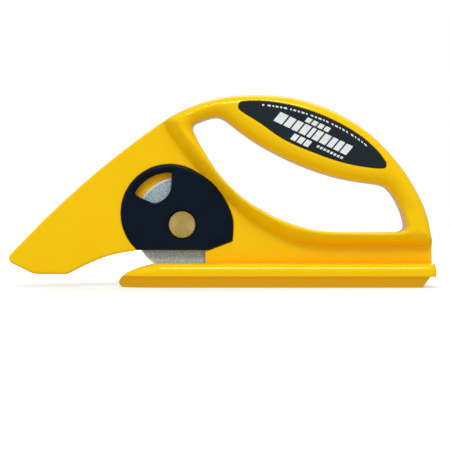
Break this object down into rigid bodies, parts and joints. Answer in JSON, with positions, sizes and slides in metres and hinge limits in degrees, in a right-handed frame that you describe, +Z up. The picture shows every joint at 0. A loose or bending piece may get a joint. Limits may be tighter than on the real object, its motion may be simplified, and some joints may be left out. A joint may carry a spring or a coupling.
{
  "type": "rotary cutter",
  "caption": "Hand rotary cutter with a loop grip, a long nose, a flat ride-under base and a round blade that turns on a bolt behind a dark lid.",
  "frame": {"origin": "middle of the overall box, on the surface that the base stands on", "axes": "+Z up, +X to the back of the cutter, so the nose and the cut point along -X; the lid side faces -Y and the nut side +Y"},
  "size_m": [0.1968, 0.024, 0.0886],
  "materials": {
    "yellow_shell": "semi-gloss moulded yellow plastic",
    "yellow_shoe": "semi-gloss moulded yellow plastic, rubbed underneath",
    "blade_steel": "satin grey steel with a bright ground edge",
    "brass": "turned brass with fine rings",
    "spring_steel": "plain spring steel",
    "dark_lid": "blue-black moulded plastic, fine grain",
    "label": "dark slate printed plate with plain white marks",
    "screw_steel": "zinc-plated cross-head screws"
  },
  "bodies": {
    "body": {"front_shell": "yellow_shell", "rear_shell": "yellow_shell", "base_shoe": "yellow_shoe", "blade_bush": "brass", "wave_washer": "spring_steel", "blade_lid": "dark_lid", "pivot_bolt": "brass", "keyed_washer": "spring_steel", "pivot_nut": "brass", "front_label": "label", "rear_label": "label", "handle_screws": "screw_steel", "nose_screws": "screw_steel", "shoe_screws": "screw_steel"},
    "rotor": {"blade": "blade_steel"}
  },
  "joints": [
    {"name": "blade_spin", "type": "hinge", "parent": "body", "child": "rotor", "pos_m": [-0.0181, 0, 0.0288], "axis": [0, -1, 0], "continuous": true}
  ]
}
